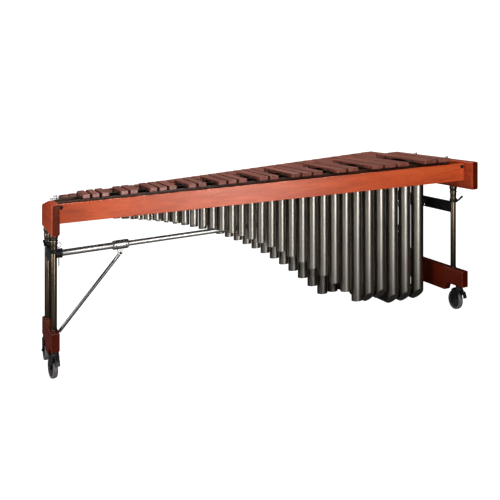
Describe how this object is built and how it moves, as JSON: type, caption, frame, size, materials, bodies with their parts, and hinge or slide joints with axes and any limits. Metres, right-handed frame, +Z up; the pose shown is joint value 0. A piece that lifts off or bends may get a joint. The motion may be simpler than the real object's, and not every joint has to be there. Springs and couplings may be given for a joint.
{
  "type": "concert marimba",
  "caption": "Tapered wooden frame with two rows of rosewood bars over hanging metal resonator tubes, on a braced height-adjustable stand with braked swivel casters.",
  "frame": {"origin": "on the floor, at the middle of the bounding box seen from above", "axes": "+X along the keyboard towards the low notes, +Y from the audience towards the player, +Z up"},
  "size_m": [2.6254, 1.21, 1.006],
  "materials": {
    "panel_wood": "satin lacquer over red-brown hardwood",
    "rail_wood": "satin lacquer over orange-red hardwood",
    "inner_wood": "plain oiled hardwood",
    "beam_wood": "satin lacquer over dark red-brown hardwood",
    "bar_wood": "fine-sanded rosewood with a soft wax sheen",
    "resonator_metal": "satin bronze-grey anodised",
    "post_metal": "satin dark bronze",
    "inner_post_metal": "satin brushed",
    "black_bar": "satin black powder coat",
    "black_fittings": "fine-textured black",
    "stretcher_steel": "satin, drawn along its length",
    "brace_steel": "satin",
    "bright_steel": "bright plated",
    "caster_black": "satin black",
    "wheel_rubber": "dull dark grey"
  },
  "bodies": {
    "stand": {"foot_beam_left": "beam_wood", "foot_beam_right": "beam_wood", "outer_post_left_audience": "post_metal", "outer_post_left_player": "post_metal", "outer_post_right_audience": "post_metal", "outer_post_right_player": "post_metal", "cross_bar_left": "black_bar", "cross_bar_right": "black_bar", "stretcher_outer_tube": "stretcher_steel", "stretcher_inner_tube": "stretcher_steel", "stretcher_bracket_left": "black_fittings", "stretcher_bracket_right": "black_fittings", "brace_sleeve_left": "stretcher_steel", "brace_sleeve_right": "stretcher_steel", "brace_left": "brace_steel", "brace_right": "brace_steel"},
    "upper_frame": {"end_panel_left": "panel_wood", "end_panel_right": "panel_wood", "audience_rail": "rail_wood", "bar_rail_accidental_audience": "inner_wood", "bar_rail_accidental_player": "inner_wood", "bar_rail_natural_audience": "inner_wood", "bar_rail_natural_player": "rail_wood", "natural_bars_low": "bar_wood", "natural_bars_middle": "bar_wood", "natural_bars_high": "bar_wood", "accidental_bars_low": "bar_wood", "accidental_bars_middle": "bar_wood", "accidental_bars_high": "bar_wood", "resonators_accidental_low": "resonator_metal", "resonators_accidental_high": "resonator_metal", "resonators_natural_low": "resonator_metal", "resonators_natural_high": "resonator_metal", "inner_post_left_audience": "inner_post_metal", "inner_post_left_player": "inner_post_metal", "inner_post_right_audience": "inner_post_metal", "inner_post_right_player": "inner_post_metal"},
    "clamp_lever_left_audience": {"clamp_lever_left_audience": "black_fittings"},
    "clamp_lever_left_player": {"clamp_lever_left_player": "black_fittings"},
    "clamp_lever_right_audience": {"clamp_lever_right_audience": "black_fittings"},
    "clamp_lever_right_player": {"clamp_lever_right_player": "black_fittings"},
    "lock_pin_left": {"lock_pin_left": "bright_steel"},
    "lock_pin_right": {"lock_pin_right": "bright_steel"},
    "caster_left_audience": {"caster_fork_left_audience": "caster_black", "caster_axle_left_audience": "bright_steel"},
    "wheel_left_audience": {"caster_wheel_left_audience": "wheel_rubber"},
    "pedal_left_audience": {"brake_pedal_left_audience": "caster_black"},
    "caster_left_player": {"caster_fork_left_player": "caster_black", "caster_axle_left_player": "bright_steel"},
    "wheel_left_player": {"caster_wheel_left_player": "wheel_rubber"},
    "pedal_left_player": {"brake_pedal_left_player": "caster_black"},
    "caster_right_audience": {"caster_fork_right_audience": "caster_black", "caster_axle_right_audience": "bright_steel"},
    "wheel_right_audience": {"caster_wheel_right_audience": "wheel_rubber"},
    "pedal_right_audience": {"brake_pedal_right_audience": "caster_black"},
    "caster_right_player": {"caster_fork_right_player": "caster_black", "caster_axle_right_player": "bright_steel"},
    "wheel_right_player": {"caster_wheel_right_player": "wheel_rubber"},
    "pedal_right_player": {"brake_pedal_right_player": "caster_black"}
  },
  "joints": [
    {"name": "frame_height", "type": "slide", "parent": "stand", "child": "upper_frame", "axis": [0, 0, 1], "range_m": [0, 0.09]},
    {"name": "clamp_left_audience", "type": "hinge", "parent": "stand", "child": "clamp_lever_left_audience", "pos_m": [-1.2848, -0.204, 0.712], "axis": [1, 0, 0], "range_deg": [0, 90]},
    {"name": "clamp_left_player", "type": "hinge", "parent": "stand", "child": "clamp_lever_left_player", "pos_m": [-1.2848, 0.049, 0.712], "axis": [1, 0, 0], "range_deg": [0, 90]},
    {"name": "clamp_right_audience", "type": "hinge", "parent": "stand", "child": "clamp_lever_right_audience", "pos_m": [1.2848, -0.4042, 0.712], "axis": [1, 0, 0], "range_deg": [0, 90]},
    {"name": "clamp_right_player", "type": "hinge", "parent": "stand", "child": "clamp_lever_right_player", "pos_m": [1.2848, 0.3492, 0.712], "axis": [1, 0, 0], "range_deg": [0, 90]},
    {"name": "pin_left", "type": "slide", "parent": "stand", "child": "lock_pin_left", "axis": [0, 0, 1], "range_m": [0, 0.05]},
    {"name": "pin_right", "type": "slide", "parent": "stand", "child": "lock_pin_right", "axis": [0, 0, 1], "range_m": [0, 0.05]},
    {"name": "swivel_left_audience", "type": "hinge", "parent": "stand", "child": "caster_left_audience", "pos_m": [-1.2765, -0.215, 0.15], "axis": [0, 0, 1], "continuous": true},
    {"name": "roll_left_audience", "type": "hinge", "parent": "caster_left_audience", "child": "wheel_left_audience", "pos_m": [-1.28179, -0.17737, 0.0625], "axis": [0.9903, 0.1392, 0], "continuous": true},
    {"name": "brake_left_audience", "type": "hinge", "parent": "caster_left_audience", "child": "pedal_left_audience", "pos_m": [-1.27124, -0.25243, 0.1265], "axis": [0.9903, 0.1392, 0], "range_deg": [0, 18]},
    {"name": "swivel_left_player", "type": "hinge", "parent": "stand", "child": "caster_left_player", "pos_m": [-1.2765, 0.113, 0.15], "axis": [0, 0, 1], "continuous": true},
    {"name": "roll_left_player", "type": "hinge", "parent": "caster_left_player", "child": "wheel_left_player", "pos_m": [-1.2765, 0.151, 0.0625], "axis": [1, 0, 0], "continuous": true},
    {"name": "brake_left_player", "type": "hinge", "parent": "caster_left_player", "child": "pedal_left_player", "pos_m": [-1.2765, 0.0752, 0.1265], "axis": [1, 0, 0], "range_deg": [0, 18]},
    {"name": "swivel_right_audience", "type": "hinge", "parent": "stand", "child": "caster_right_audience", "pos_m": [1.2765, -0.44, 0.15], "axis": [0, 0, 1], "continuous": true},
    {"name": "roll_right_audience", "type": "hinge", "parent": "caster_right_audience", "child": "wheel_right_audience", "pos_m": [1.2765, -0.402, 0.0625], "axis": [1, 0, 0], "continuous": true},
    {"name": "brake_right_audience", "type": "hinge", "parent": "caster_right_audience", "child": "pedal_right_audience", "pos_m": [1.2765, -0.4778, 0.1265], "axis": [1, 0, 0], "range_deg": [0, 18]},
    {"name": "swivel_right_player", "type": "hinge", "parent": "stand", "child": "caster_right_player", "pos_m": [1.2765, 0.44, 0.15], "axis": [0, 0, 1], "continuous": true},
    {"name": "roll_right_player", "type": "hinge", "parent": "caster_right_player", "child": "wheel_right_player", "pos_m": [1.2844, 0.47717, 0.0625], "axis": [0.9781, -0.2079, 0], "continuous": true},
    {"name": "brake_right_player", "type": "hinge", "parent": "caster_right_player", "child": "pedal_right_player", "pos_m": [1.26864, 0.40303, 0.1265], "axis": [0.9781, -0.2079, 0], "range_deg": [0, 18]}
  ]
}
